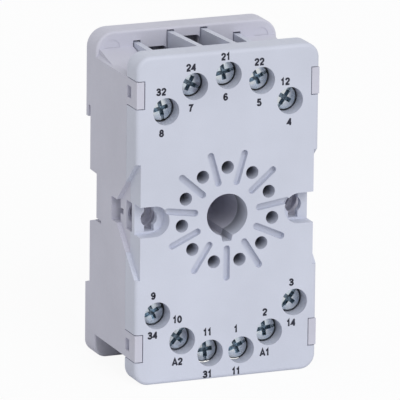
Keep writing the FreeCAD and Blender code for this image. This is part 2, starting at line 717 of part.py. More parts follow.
    # rail seat with its fixed lip at the top, and the notch between
    rear = dim("body_depth") + 1
    rail, slope = dim("rail_plane"), dim("foot_slope")
    notch_low = dim("notch_offset") - dim("notch_height") / 2
    notch_high = dim("notch_offset") + dim("notch_height") / 2
    lip_low = rail_top - dim("lip_overlap")
    sketch = sketch_on(body, "rail_seat_sketch", "YZ_Plane", 0)
    add_outline(sketch, [
        (rail, -rail_top), (rear, -rail_top - slope), (rear, lip_low), (lip_inner, lip_low),
        (lip_inner, rail_top), (rail, rail_top), (rail, notch_high),
        (dim("notch_front"), notch_high - 0.1), (dim("notch_front"), notch_low + 1.1),
        (rail, notch_low)])
    extrude(body, "Pocket", "rail_seat", sketch, dim("body_width") + 2, both_ways=True)

    relief_low = notch_low + 1.1 - dim("relief_height") / 2
    sketch = sketch_on(body, "notch_relief_sketch", "YZ_Plane", 0)
    add_box(sketch, dim("relief_front"), dim("notch_front") + 0.5, relief_low,
            relief_low + dim("relief_height"))
    extrude(body, "Pocket", "notch_relief", sketch, dim("body_width") + 2, both_ways=True)

    # channel of the rail latch and the peg its spring rests on
    flange = dim("latch_flange_width") / 2 + dim("latch_gap")
    mouth = dim("latch_width") / 2 + dim("latch_gap")
    channel_front = dim("latch_channel_front")
    flange_depth = dim("latch_flange_thickness") + dim("latch_gap") * 2
    cut_back(body, "latch_flange_way", channel_front, flange_depth, lambda sketch: add_box(
        sketch, -flange, flange, -beyond, 1 - rail_top))
    cut_back(body, "latch_way", channel_front, rear - channel_front, lambda sketch: add_box(
        sketch, -mouth, mouth, -beyond, 1 - rail_top))
    peg, peg_top = dim("peg_width") / 2, dim("peg_top")
    pad_back(body, "spring_peg", channel_front - 0.3, dim("peg_length") + 0.3,
             lambda sketch: add_box(sketch, -peg, peg, -peg_top - dim("peg_height"), -peg_top))
    return body


def build_contact(number):
    """A brass contact: pad, threaded collar, strip and the sleeve that grips a pin."""
    body = new_body(f"contact_{number}")
    front, thick = strip_front, dim("strip_thickness")
    across, up = TERMINALS[number]
    half_pad = dim("pad_size") / 2
    pad_back(body, f"strip_{number}", front, thick, lambda sketch: add_outline(
        sketch, strip_outline(number, dim("strip_width") / 2)))
    pad_back(body, f"pad_{number}", front, thick, lambda sketch: add_box(
        sketch, across - half_pad, across + half_pad, up - half_pad, up + half_pad))
    pad_back(body, f"collar_{number}", front, thick + dim("thread_collar_length"),
             lambda sketch: add_circle(sketch, across, up, dim("collar_outer")))
    pad_back(body, f"sleeve_{number}", front, thick + dim("sleeve_length"),
             lambda sketch: add_circle(sketch, *pin_spot(number), dim("sleeve_outer")))
    cut_back(body, f"sleeve_bore_{number}", front, thick + dim("sleeve_length"),
             lambda sketch: add_circle(sketch, *pin_spot(number), dim("pin_hole_radius")))
    cut_back(body, f"thread_{number}", front, thick + dim("thread_collar_length"),
             lambda sketch: add_circle(sketch, across, up,
                                       dim("screw_radius") + dim("thread_play")))
    slit, reach = dim("sleeve_slit") / 2, dim("sleeve_outer") + 0.5
    pin_across, pin_up = pin_spot(number)
    cut_back(body, f"sleeve_slit_{number}", dim("seat_front") + 1,
             dim("sleeve_length") - 1, lambda sketch: add_box(
                 sketch, pin_across - reach, pin_across + reach, pin_up - slit, pin_up + slit))
    return body


def place_at_terminal(body, number, turn):
    """Puts a body's own axis on a terminal's, turned about it by some degrees."""
    across, up = TERMINALS[number]
    body.Placement = FreeCAD.Placement(
        V(across.number, 0, up.number), FreeCAD.Rotation(V(0, 1, 0), turn))
    body.setExpression("Placement.Base.x", across.text)
    body.setExpression("Placement.Base.z", up.text)


def build_clamp_plate(number):
    """A clamp plate with cut corners, a hole for its screw and two wire grooves."""
    body = new_body(f"clamp_plate_{number}")
    half, cut = dim("clamp_size") / 2, dim("clamp_chamfer")
    front = strip_front - dim("clamp_thickness")
    pad_back(body, f"plate_{number}", front, dim("clamp_thickness"),
             lambda sketch: add_outline(sketch, [
                 (cut - half, -half), (half - cut, -half), (half, cut - half),
                 (half, half - cut), (half - cut, half), (cut - half, half),
                 (-half, half - cut), (-half, cut - half)]))
    cut_back(body, f"plate_hole_{number}", front, dim("clamp_thickness"),
             lambda sketch: add_circle(sketch, 0, 0,
                                       dim("screw_radius") + dim("clamp_play")))
    depth, breadth = dim("wire_groove_depth"), dim("wire_groove_radius") / 2
    middle = dim("wire_groove_x")

    def wire_grooves(sketch):
        for side in (1, -1):
            centre = middle * side
            add_box(sketch, centre - breadth, centre + breadth, -half - 1, half + 1)
    cut_back(body, f"wire_grooves_{number}", strip_front - depth, depth, wire_grooves)
    place_at_terminal(body, number, 0)
    return body


def build_terminal_screw(number):
    """A captive screw with a domed head, a cross recess and a slot."""
    body = new_body(f"terminal_screw_{number}")
    under = strip_front - dim("clamp_thickness") - dim("head_clamp_gap")
    crown = under - dim("head_height")
    head, shank = dim("head_radius"), dim("screw_radius")
    drop = dim("head_height") - dim("head_edge")
    dome = (head * head + drop * drop) / (drop * 2)
    tip, point = under + dim("screw_length"), dim("thread_point")
    sketch = sketch_on(body, f"screw_{number}_sketch", "XY_Plane", 0)
    add_outline(sketch, [
        (0, crown, dome), (head, crown + drop), (head, under), (shank, under),
        (shank, tip - point), (shank - point, tip), (0, tip)])
    turned = body.newObject("PartDesign::Revolution", f"screw_{number}")
    turned.Profile = sketch
    turned.ReferenceAxis = (plane_of(body, "Y_Axis"), [""])
    turned.Angle = 360.0
    sketch.Visibility = False
    doc.recompute()
    arm, breadth = dim("cross_length") / 2, dim("cross_width") / 2
    cut_back(body, f"cross_{number}", crown, dim("cross_depth"),
             lambda sketch: add_outline(sketch, [
                 (-arm, -breadth), (-breadth, -breadth), (-breadth, -arm), (breadth, -arm),
                 (breadth, -breadth), (arm, -breadth), (arm, breadth), (breadth, breadth),
                 (breadth, arm), (-breadth, arm), (-breadth, breadth), (-arm, breadth)]))
    slot = dim("slot_width") / 2
    cut_back(body, f"slot_{number}", crown, dim("slot_depth"),
             lambda sketch: add_box(sketch, -head - 1, head + 1, -slot, slot))
    place_at_terminal(body, number, -SCREW_ANGLES[number])
    return body


def build_rail_latch():
    """The sliding foot that holds the rail's lower edge."""
    body = new_body("rail_latch")
    flange, half = dim("latch_flange_width") / 2, dim("latch_width") / 2
    front = dim("latch_channel_front") + dim("latch_gap")
    top, bottom = -dim("latch_top"), -dim("latch_bottom")
    rear = dim("body_depth") - dim("latch_rear_inset")
    pad_back(body, "latch_flange", front, dim("latch_flange_thickness"),
             lambda sketch: add_box(sketch, -flange, flange, bottom, top))
    pad_back(body, "latch_body", front, rear - front,
             lambda sketch: add_box(sketch, -half, half, bottom, top))
    nose_front = lip_inner
    nose_top = -(dim("rail_height") / 2 - dim("latch_nose_overlap"))
    bevel = dim("latch_nose_chamfer")
    sketch = sketch_on(body, "latch_nose_sketch", "YZ_Plane", 0)
    add_outline(sketch, [(nose_front, top - 1), (rear, top - 1), (rear, nose_top - bevel),
                         (rear - bevel, nose_top), (nose_front, nose_top)])
    extrude(body, "Pad", "latch_nose", sketch, dim("latch_width"), both_ways=True)
    window = dim("latch_window_width") / 2
    low = -dim("peg_top") - dim("peg_height") - dim("peg_gap")
    cut_back(body, "latch_window", front, rear - front, lambda sketch: add_box(
        sketch, -window, window, low, -dim("latch_window_top")))
    return body


def build_latch_spring():
    """The coil spring between the latch and the base's peg."""
    radius, wire = num("spring_radius"), num("spring_wire")
    start = -num("peg_top") + wire
    length = num("peg_top") - num("latch_window_top") - 2 * wire
    depth = num("latch_channel_front") + radius + wire + 0.3
    helix = doc.addObject("Part::Helix", "spring_path")
    helix.setExpression("Radius", "dims.spring_radius")
    helix.setExpression("Height",
                        "dims.peg_top - dims.latch_window_top - 2 * dims.spring_wire")
    helix.setExpression("Pitch", "(dims.peg_top - dims.latch_window_top"
                                 " - 2 * dims.spring_wire) / dims.spring_turns")
    helix.Placement = FreeCAD.Placement(V(0, depth, start), FreeCAD.Rotation())
    circle = doc.addObject("Part::Circle", "spring_wire_section")
    circle.setExpression("Radius", "dims.spring_wire")
    slope = math.degrees(math.atan2(length / num("spring_turns"), 2 * math.pi * radius))
    circle.Placement = FreeCAD.Placement(
        V(radius, depth, start), FreeCAD.Rotation(V(1, 0, 0), 90 + slope))
    doc.recompute()
    sweep = doc.addObject("Part::Sweep", "latch_spring")
    sweep.Label = "latch_spring"
    sweep.Sections = [circle]
    sweep.Spine = (helix, [])
    sweep.Solid = True
    sweep.Frenet = True
    doc.recompute()
    return sweep


pieces = [build_base_housing(), build_front_cover()]
for contact_number in sorted(TERMINALS):
    pieces.append(build_contact(contact_number))
for contact_number in sorted(TERMINALS):
    pieces.append(build_clamp_plate(contact_number))
    pieces.append(build_terminal_screw(contact_number))
pieces.append(build_rail_latch())
pieces.append(build_latch_spring())
doc.recompute()

for item in doc.Objects:
    if "Invalid" in item.State or "Error" in item.State:
        raise RuntimeError(f"{item.Name} did not recompute: {item.State}")
os.makedirs("parts", exist_ok=True)
for piece in pieces:
    shape = piece.Shape
    if shape.isNull() or not shape.isValid() or not shape.Solids:
        raise RuntimeError(f"{piece.Label} has no valid solid")
    if len(shape.Solids) != 1:
        raise RuntimeError(f"{piece.Label} is in {len(shape.Solids)} solids")
    shape.exportStep(os.path.join("parts", f"{piece.Label}.step"))
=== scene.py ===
"""Looks for an eleven-pin plug-in relay socket: moulded plastic, zinc screws, brass contacts.

Laid out as an add-on. Every size is in metres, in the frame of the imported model:
+X right as the front is seen, +Y into the depth, +Z up.
"""
import math

import bpy
import numpy as np
from bpy.props import FloatProperty, FloatVectorProperty, PointerProperty
from mathutils import Matrix, Vector


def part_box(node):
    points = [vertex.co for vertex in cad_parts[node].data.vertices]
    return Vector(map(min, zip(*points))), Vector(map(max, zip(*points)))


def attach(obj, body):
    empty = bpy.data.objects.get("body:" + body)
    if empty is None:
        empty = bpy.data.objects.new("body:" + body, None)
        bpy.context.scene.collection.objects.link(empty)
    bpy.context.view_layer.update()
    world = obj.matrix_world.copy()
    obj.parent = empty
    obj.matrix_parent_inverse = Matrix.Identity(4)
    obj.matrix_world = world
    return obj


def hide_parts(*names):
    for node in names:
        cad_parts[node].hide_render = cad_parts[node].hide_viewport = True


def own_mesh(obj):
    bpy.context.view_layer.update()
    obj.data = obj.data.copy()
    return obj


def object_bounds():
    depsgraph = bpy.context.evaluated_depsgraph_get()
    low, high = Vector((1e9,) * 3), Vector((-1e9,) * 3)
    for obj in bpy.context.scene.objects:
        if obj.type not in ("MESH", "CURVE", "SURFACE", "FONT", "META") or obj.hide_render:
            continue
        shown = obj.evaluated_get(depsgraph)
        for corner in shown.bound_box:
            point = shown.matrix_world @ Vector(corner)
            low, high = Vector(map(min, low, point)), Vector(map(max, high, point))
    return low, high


bl_info = {
    "name": "Relay Socket Looks",
    "version": (1, 0, 0),
    "blender": (4, 5, 0),
    "location": "View3D > Sidebar > Relay Socket",
    "description": "Dresses a plug-in relay socket and sets its studio",
    "category": "Object",
}

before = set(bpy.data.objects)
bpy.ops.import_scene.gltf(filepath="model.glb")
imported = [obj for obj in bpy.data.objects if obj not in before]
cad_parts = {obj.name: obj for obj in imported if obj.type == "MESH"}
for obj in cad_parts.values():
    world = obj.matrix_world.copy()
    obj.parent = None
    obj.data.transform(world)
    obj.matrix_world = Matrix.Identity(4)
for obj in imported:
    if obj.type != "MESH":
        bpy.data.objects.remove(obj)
CAD_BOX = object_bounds()

# One millimetre in the frame's unit
MILLIMETRE = 1e-3
NUMBERS = range(1, 12)
# Radius of the latch spring's wire, its turns, and how far the latch is pulled down
SPRING_WIRE, SPRING_TURNS, LATCH_TRAVEL = 0.00022, 7, 0.0024
# Centre of each screw hole on the front face, in millimetres
TERMINALS = {
    1: (3.25, -27.47), 2: (9.15, -24.43), 3: (14.36, -18.88), 4: (12.90, 21.70),
    5: (6.97, 26.20), 6: (0.0, 27.80), 7: (-6.97, 26.20), 8: (-12.90, 21.70),
    9: (-14.36, -18.88), 10: (-9.15, -24.43), 11: (-3.25, -27.47),
}
# Terminal marks, and where mark and pin number are printed from each screw's centre, in
# millimetres to the right and up
PRINTS = {
    1: (("11", -1.10, -4.15), ("1", -1.22, 4.36)),
    2: (("A1", -1.05, -4.02), ("2", -1.00, 4.12)),
    3: (("14", -0.65, -4.10), ("3", -0.68, 4.08)),
    4: (("12", -1.05, 3.90), ("4", -0.25, -4.20)),
    5: (("22", -0.62, 3.78), ("5", -0.56, -4.30)),
    6: (("21", -0.78, 3.80), ("6", -0.62, -4.20)),
    7: (("24", -0.90, 3.82), ("7", -0.76, -4.20)),
    8: (("32", -1.08, 4.00), ("8", -0.95, -4.20)),
    9: (("34", -1.03, -3.86), ("9", -0.90, 4.08)),
    10: (("A2", -1.00, -4.10), ("10", -1.02, 4.42)),
    11: (("31", -0.66, -4.20), ("11", -0.70, 4.30)),
}
# Painted shade that darkens the colour deep in the hollows: half width, lowest and highest
# point, the depths between which it grows, the depth where it ends, and its strength
COVER_HOLLOW_SHADE = (0.0173, -0.0312, 0.0312, 0.0009, 0.0045, 0.0052, 0.58)
BASE_HOLLOW_SHADE = (0.0102, 0.0180, 0.0309, 0.0216, 0.0236, 0.0252, 0.60)
# Width of the soft border of a hollow, and how much of the plastic's colour the painted shade
# leaves
SOFT_BORDER, HOLLOW_SHADE_LEVEL = 0.0002, 0.12
# Inner end and half height of the wells of the panel screws
WELL_START, WELL_REACH = 0.0118, 0.0033
# Dome of a screw head: its crown and rim depth, and its radius
CROWN, RIM, HEAD_RADIUS = 0.00293, 0.00313, 0.00255
# How far inside a head's radius the painted shadow, where the head meets its hole, starts, and
# where it is full
SHADOW_RING_START, SHADOW_RING_FULL = 0.00027, 0.00016
# How far below the dome the painted shade in a recess starts, and where it is full
RECESS_SHADE_START, RECESS_SHADE_FULL = 0.00004, 0.00045
# Share of plain white in what the camera sees of the floor, the floor's radius and its sides
FLOOR_GLOW, FLOOR_RADIUS, FLOOR_SIDES = 0.93, 3.0, 96
# Share of the white air that reflections see
MIRRORED_AIR = 0.9
# Where the key lamp stands, as seen from the socket, and its width in degrees
KEY_DIRECTION, KEY_WIDTH = Vector((0.02, -0.80, 0.60)), 38.0
# The point that the camera looks at, its sensor's width, and its nearest and farthest sight
LOOKED_AT, SENSOR_WIDTH, SIGHT = Vector((-0.00572, 0.0, 0.00352)), 36.0, (0.1, 20.0)


def srgb(red, green, blue):
    """Linear colour of three screen values from 0 to 255."""
    levels = np.array([red, green, blue]) / 255.0
    linear = np.where(levels <= 0.04045, levels / 12.92, ((levels + 0.055) / 1.055) ** 2.4)
    return tuple(float(level) for level in linear)


class Link:
    """A node's output that can be used in arithmetic; each operation adds a Math node."""

    def __init__(self, shader, socket):
        self.shader = shader
        self.socket = socket

    def _math(self, operation, first, second=0.0):
        return self.shader.node("ShaderNodeMath", {"operation": operation},
                                {0: first, 1: second})

    def __add__(self, other):
        return self._math("ADD", self, other)

    def __sub__(self, other):
        return self._math("SUBTRACT", self, other)

    def __rsub__(self, other):
        return self._math("SUBTRACT", other, self)

    def __mul__(self, other):
        return self._math("MULTIPLY", self, other)

    def __pow__(self, other):
        return self._math("POWER", self, other)

    def size(self):
        """The value without its sign."""
        return self._math("ABSOLUTE", self)

    def output(self, index):
        """Another output of the same node."""
        return Link(self.shader, self.socket.node.outputs[index])


class Shader:
    """A material under construction: its nodes, and its Principled surface."""

    def __init__(self, name):
        self.material = bpy.data.materials.new(name)
        self.material.use_nodes = True
        self.tree = self.material.node_tree
        self.surface = self.tree.nodes["Principled BSDF"]
        self.output = self.tree.nodes["Material Output"]

    def node(self, kind, settings=None, inputs=None, output=0):
        """Adds a node, sets it up, fills its sockets and returns one of its outputs."""
        made = self.tree.nodes.new(kind)
        for key, value in (settings or {}).items():
            if key == "stops":
                ramp = made.color_ramp
                while len(ramp.elements) < len(value):
                    ramp.elements.new(0.5)
                for element, (place, colour) in zip(ramp.elements, value):
                    element.position = place
                    element.color = colour
            else:
                setattr(made, key, value)
        for key, value in (inputs or {}).items():
            self.feed(made.inputs[key], value)
        return Link(self, made.outputs[output])

    def feed(self, socket, value):
        """Links a Link to a socket, or writes a plain value on it."""
        if isinstance(value, Link):
            self.tree.links.new(value.socket, socket)
        else:
            socket.default_value = value

    def place(self):
        """The surface point in the piece's own metres."""
        return self.node("ShaderNodeTexCoord", output="Object")

    def noise(self, vector, scale, detail=2.0, roughness=0.5):
        """A smooth random value around one half that changes with place."""
        return self.node("ShaderNodeTexNoise", {"noise_dimensions": "3D"},
                         {"Vector": vector, "Scale": scale, "Detail": detail,
                          "Roughness": roughness})

    def blend(self, factor, first, second):
        """Mixes two colours by a factor."""
        return self.node("ShaderNodeMix", {"data_type": "RGBA"},
                         {0: factor, 6: first, 7: second}, output=2)

    def between(self, value, low, high, to_low, to_high):
        """Maps a value's range to another, held at the ends."""
        return self.node("ShaderNodeMapRange", {"clamp": True},
                         {"Value": value, "From Min": low, "From Max": high,
                          "To Min": to_low, "To Max": to_high})

    def bump(self, height, distance, strength=1.0):
        """Turns a height into a normal for the surface."""
        normal = self.node("ShaderNodeBump", None,
                           {"Height": height, "Distance": distance, "Strength": strength})
        self.feed(self.surface.inputs["Normal"], normal)


def rgba(colour):
    """A colour with full alpha."""
    return (colour[0], colour[1], colour[2], 1.0)


def shade(colour, share):
    """A colour made darker or lighter by one share, at most white."""
    return tuple(min(level * share, 1.0) for level in colour)


def moulded_plastic(name, colour, grain, relief, gloss, hollows=None):
    """Spark-eroded moulded plastic: fine grain, faint flow clouds, softly worn sheen.

    Painted shade darkens the colour deep in the hollows: hollows holds the half width, the
    lowest and the highest point within which depth counts, the depths between which the shade
    grows, the depth past which there is none, and its strength. The panel screws' wells get
    none.
    """
    shader = Shader(name)
    place = shader.place()
    clouds = shader.noise(place, 55.0, detail=3.0, roughness=0.55)
    fine = shader.noise(place, grain, roughness=0.6)
    coarse = shader.noise(place, grain * 0.28)
    tone = shader.between(clouds * 0.75 + fine * 0.25, 0.35, 0.65, 0.0, 1.0)
    paint = shader.blend(tone, rgba(shade(colour, 0.945)), rgba(shade(colour, 1.035)))
    # Painted shade: the colour grows darker with depth in the hollows, where shade falls
    if hollows:
        half_width, lowest, highest, start, end, last, strength = hollows
        across = shader.node("ShaderNodeSeparateXYZ", None, {0: place})
        depth, up = across.output(1), across.output(2)
        inside = (shader.between(across.size(), half_width - SOFT_BORDER, half_width, 1.0, 0.0)
                  * shader.between(up, lowest, lowest + SOFT_BORDER, 0.0, 1.0)
                  * shader.between(up, highest - SOFT_BORDER, highest, 1.0, 0.0))
        well = (shader.between(across.size(), WELL_START - SOFT_BORDER, WELL_START, 0.0, 1.0)
                * shader.between(up.size(), WELL_REACH, WELL_REACH + SOFT_BORDER, 1.0, 0.0))
        reached = shader.between(depth, last - SOFT_BORDER, last, 1.0, 0.0) * (1.0 - well)
        painted_shade = shader.between(depth, start, end, 0.0, strength) * inside * reached
        paint = shader.blend(painted_shade, paint, rgba(shade(colour, HOLLOW_SHADE_LEVEL)))
    shader.feed(shader.surface.inputs["Base Color"], paint)
    shader.feed(shader.surface.inputs["Roughness"],
                shader.between(coarse, 0.3, 0.7, gloss - 0.06, gloss + 0.07))
    shader.surface.inputs["Specular IOR Level"].default_value = 0.42
    shader.bump(fine * 0.65 + coarse * 0.35, relief)
    return shader.material


def plated_steel(name, colour, turn_marks, blue_tint):
    """Bright zinc plate with passivation tints, drawn marks and small stains."""
    shader = Shader(name)
    place = shader.place()
    tint = shader.noise(place, 420.0)
    stain = shader.noise(place, 1600.0, detail=3.0, roughness=0.6)
    marks = shader.noise(place, turn_marks, detail=1.0)
    warm = tuple(level * factor for level, factor in zip(colour, (1.03, 1.0, 0.93)))
    shift = shader.between(tint, 0.38, 0.62, 0.0, 1.0)
    base = shader.blend(shift, rgba(warm), rgba(blue_tint))
    spots = shader.between(stain, 0.58, 0.75, 0.0, 0.35)
    dull = rgba(shade(colour, 0.62))
    shader.feed(shader.surface.inputs["Base Color"], shader.blend(spots, base, dull))
    shader.surface.inputs["Metallic"].default_value = 1.0
    shader.feed(shader.surface.inputs["Roughness"],
                shader.between(marks, 0.3, 0.7, 0.20, 0.36) + spots * 0.4)
    shader.bump(marks * 0.6 + stain * 0.4, 6e-6)
    return shader.material


def screw_zinc(name, centre, colour, tint, recess):
    """Zinc-plated screw head: bright dome, blue-grey painted shade in the cross and slot,
    painted shadow round the rim.

    The depth below the dome is y less the dome's own y, which falls off with the square
    of the distance from the screw's axis; the painted shade in cross and slot grows with
    that depth, and the painted shadow round the rim starts just inside the head's radius.
    """
    shader = Shader(name)
    place = shader.place()
    local = shader.node("ShaderNodeMapping", None,
                        {"Vector": place, "Location": (-centre[0], 0.0, -centre[1])})
    split = shader.node("ShaderNodeSeparateXYZ", None, {0: local})
    across, depth, up = split, split.output(1), split.output(2)
    square = across * across + up * up
    below = depth - (square * ((RIM - CROWN) / HEAD_RADIUS ** 2) + CROWN)
    # Painted shade in the cross and slot, growing with the depth below the dome
    recess_shade_mask = shader.between(below, RECESS_SHADE_START, RECESS_SHADE_FULL, 0.0, 1.0)
    # Painted shadow round the rim, where the head meets the wall of its hole
    rim_shadow = shader.between(square ** 0.5, HEAD_RADIUS - SHADOW_RING_START, HEAD_RADIUS - SHADOW_RING_FULL,
                          0.0, 0.92)
    clouds = shader.noise(place, 650.0)
    turned = shader.noise(place, 2600.0, detail=1.0)
    head = shader.blend(shader.between(clouds, 0.40, 0.60, 0.0, 1.0), rgba(colour),
                        rgba(tint))
    # The recesses' painted shade, with random lighter patches as painted glints
    hollow = shader.blend(shader.between(turned, 0.40, 0.60, 0.0, 1.0), rgba(recess),
                          rgba(shade(recess, 2.2)))
    # Colour of the painted shadow round the rim
    shadow_colour = rgba(shade(recess, 0.25))
    shader.feed(shader.surface.inputs["Base Color"],
                shader.blend(rim_shadow, shader.blend(recess_shade_mask, head, hollow), shadow_colour))
    shader.surface.inputs["Metallic"].default_value = 1.0
    shader.feed(shader.surface.inputs["Roughness"],
                shader.between(clouds, 0.3, 0.7, 0.20, 0.30) + rim_shadow * 0.3)
    shader.bump(turned, 5e-6)
    return shader.material


def stamped_brass(name, colour):
    """Tin-dulled brass strip with rolling streaks along its length and darker patches."""
    shader = Shader(name)
    place = shader.place()
    stretch = shader.node("ShaderNodeMapping", None,
                          {"Vector": place, "Scale": (2400.0, 2400.0, 180.0)})
    streaks = shader.noise(stretch, 1.0)
    patina = shader.noise(place, 300.0, detail=3.0, roughness=0.6)
    shader.feed(shader.surface.inputs["Base Color"], shader.blend(
        shader.between(patina, 0.45, 0.7, 0.0, 0.8), rgba(colour), rgba(shade(colour, 0.66))))
    shader.surface.inputs["Metallic"].default_value = 1.0
    shader.feed(shader.surface.inputs["Roughness"],
                shader.between(streaks * 0.6 + patina * 0.4, 0.3, 0.7, 0.24, 0.42))
    shader.bump(streaks, 4e-6)
    return shader.material


def printed_ink(name, colour):
    """Pad-printed ink: near black, with thin places where the plastic's grain shows."""
    shader = Shader(name)
    place = shader.place()
    thin = shader.between(shader.noise(place, 5200.0, roughness=0.6), 0.62, 0.80, 0.0, 0.35)
    pale = tuple(level * 6.0 + 0.01 for level in colour)
    shader.feed(shader.surface.inputs["Base Color"],
                shader.blend(thin, rgba(colour), rgba(pale)))
    shader.feed(shader.surface.inputs["Roughness"], thin * 0.5 + 0.42)
    shader.bump(thin, 4e-6)
    return shader.material


def finish_node(name, material):
    """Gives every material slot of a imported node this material."""
    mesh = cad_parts[name].data
    if not mesh.materials:
        mesh.materials.append(material)
    for index in range(len(mesh.materials)):
        mesh.materials[index] = material


def new_piece(name, points, faces, material, smooth=False):
    """A mesh piece at the origin from an array of points and a list of faces."""
    mesh = bpy.data.meshes.new(name)
    mesh.from_pydata(np.asarray(points).tolist(), [], [tuple(face) for face in faces])
    mesh.materials.append(material)
    if smooth:
        mesh.shade_smooth()
    mesh.update()
    piece = bpy.data.objects.new(name, mesh)
    bpy.context.scene.collection.objects.link(piece)
    return piece


def coil(low, high, wire, turns, steps=28, sides=10):
    """Points and faces of a round wire wound up through a box, both ends closed.

    Along the helix each ring of points lies in the plane of the outward direction and of
    the one square to it and to the wire's run.
    """
    radius = (high[0] - low[0]) / 2 - wire
    middle = (np.asarray(low) + np.asarray(high)) / 2
    length = high[2] - low[2] - 2 * wire
    turn = np.linspace(0.0, 2.0 * math.pi * turns, turns * steps + 1)[:, None]
    outward = np.hstack([np.cos(turn), np.sin(turn), np.zeros_like(turn)])
    run = np.hstack([-radius * np.sin(turn), radius * np.cos(turn),
                     np.full_like(turn, length / (2.0 * math.pi * turns))])
    run /= np.linalg.norm(run, axis=1, keepdims=True)
    aside = np.cross(run, outward)
    centre = outward * radius + (middle[0], middle[1], 0.0)
    centre[:, 2] = low[2] + wire + length * turn[:, 0] / turn[-1, 0]
    around = np.linspace(0.0, 2.0 * math.pi, sides + 1)[:-1][None, :, None]
    rings = (centre[:, None, :] + wire * (np.cos(around) * outward[:, None, :]
                                          + np.sin(around) * aside[:, None, :]))
    ring, side = np.arange(len(turn) - 1)[:, None] * sides, np.arange(sides)[None, :]
    first, beside = ring + side, ring + (side + 1) % sides
    quads = np.stack([first, beside, beside + sides, first + sides], axis=2).reshape(-1, 4)
    last = (len(turn) - 1) * sides
    caps = [tuple(reversed(range(sides))), tuple(range(last, last + sides))]
    return rings.reshape(-1, 3), quads.tolist() + caps


def smooth_path(points, closed, steps=9):
    """A curve through the points: on each stretch the cubic that leaves and meets its two
    ends along the line between their neighbours."""
    points = np.asarray(points, dtype=float)
    if closed:
        chain = np.vstack([points[-1], points, points[:2]])
    else:
        chain = np.vstack([2 * points[0] - points[1], points, 2 * points[-1] - points[-2]])
    before, start, end, after = chain[:-3], chain[1:-2], chain[2:-1], chain[3:]
    share = np.linspace(0.0, 1.0, steps + 1)[:-1][None, :, None]
    before, start, end, after = (part[:, None, :] for part in (before, start, end, after))
    run = 0.5 * (2 * start + (end - before) * share
                 + (2 * before - 5 * start + 4 * end - after) * share ** 2
                 + (3 * start - before - 3 * end + after) * share ** 3)
    run = run.reshape(-1, 2)
    return run if closed else np.vstack([run, points[-1]])


def ribbon(path, closed, breadth):
    """Points and faces of a flat band along a path: each path point is moved to both sides
    along the mitre of its two stretches, by half the breadth over the mitre's cosine."""
    ahead = np.roll(path, -1, axis=0) - path
    if not closed:
        ahead[-1] = ahead[-2]
    ahead /= np.linalg.norm(ahead, axis=1, keepdims=True)
    behind = np.roll(ahead, 1, axis=0)
    if not closed:
        behind[0] = ahead[0]
    normals = np.column_stack([-ahead[:, 1], ahead[:, 0]])
    mitre = normals + np.column_stack([-behind[:, 1], behind[:, 0]])
    mitre /= np.linalg.norm(mitre, axis=1, keepdims=True)
    reach = breadth / 2 / np.maximum((mitre * normals).sum(axis=1), 0.45)
    left, right = path + mitre * reach[:, None], path - mitre * reach[:, None]
    count = len(path)
    first = np.arange(count if closed else count - 1)
    second = (first + 1) % count
    faces = np.column_stack([first, first + count, second + count, second])
    return np.vstack([left, right]), faces


def oval(across, up, half_width, half_height):
    """Eight points round an oval."""
    turns = np.linspace(0.0, 2.0 * math.pi, 9)[:-1]
    return np.column_stack([across + half_width * np.cos(turns),
                            up + half_height * np.sin(turns)])


SIX = [(0.52, 0.76), (0.42, 0.89), (0.29, 0.90), (0.14, 0.74), (0.10, 0.44), (0.17, 0.17),
       (0.32, 0.09), (0.48, 0.17), (0.54, 0.32), (0.47, 0.48), (0.32, 0.55), (0.18, 0.48),
       (0.12, 0.36)]
# Centre lines of the printed figures in a box one unit high: smooth or straight, closed or
# open, and the points
STROKES = {
    "0": [("smooth", True, oval(0.32, 0.50, 0.22, 0.41))],
    "1": [("straight", False, [(0.06, 0.71), (0.20, 0.76), (0.31, 0.92), (0.31, 0.0)])],
    "2": [("smooth", False, [(0.10, 0.66), (0.15, 0.84), (0.32, 0.91), (0.49, 0.84),
                             (0.54, 0.67), (0.44, 0.48), (0.26, 0.31), (0.12, 0.12)]),
          ("straight", False, [(0.04, 0.09), (0.59, 0.09)])],
    "3": [("smooth", False, [(0.11, 0.71), (0.17, 0.86), (0.31, 0.91), (0.46, 0.85),
                             (0.51, 0.71), (0.44, 0.58), (0.28, 0.52), (0.46, 0.46),
                             (0.54, 0.30), (0.47, 0.15), (0.31, 0.09), (0.15, 0.15),
                             (0.09, 0.29)])],
    "4": [("straight", False, [(0.44, 0.90), (0.08, 0.30), (0.61, 0.30)]),
          ("straight", False, [(0.44, 1.0), (0.44, 0.0)])],
    "5": [("straight", False, [(0.55, 0.91), (0.18, 0.91), (0.12, 0.47)]),
          ("smooth", False, [(0.12, 0.47), (0.20, 0.56), (0.33, 0.59), (0.48, 0.50),
                             (0.54, 0.33), (0.47, 0.16), (0.31, 0.09), (0.16, 0.14),
                             (0.09, 0.27)])],
    "6": [("smooth", False, SIX)],
    "7": [("straight", False, [(0.05, 0.91), (0.55, 0.91), (0.36, 0.55), (0.25, 0.0)])],
    "8": [("smooth", True, oval(0.32, 0.71, 0.18, 0.20)),
          ("smooth", True, oval(0.32, 0.30, 0.22, 0.21))],
    "9": [("smooth", False, [(0.64 - across, 1.0 - up) for across, up in SIX])],
    "A": [("straight", False, [(0.02, 0.0), (0.34, 0.96), (0.66, 0.0)]),
          ("straight", False, [(0.14, 0.29), (0.54, 0.29)])],
}
ADVANCE = {"1": 0.62, "A": 0.78}


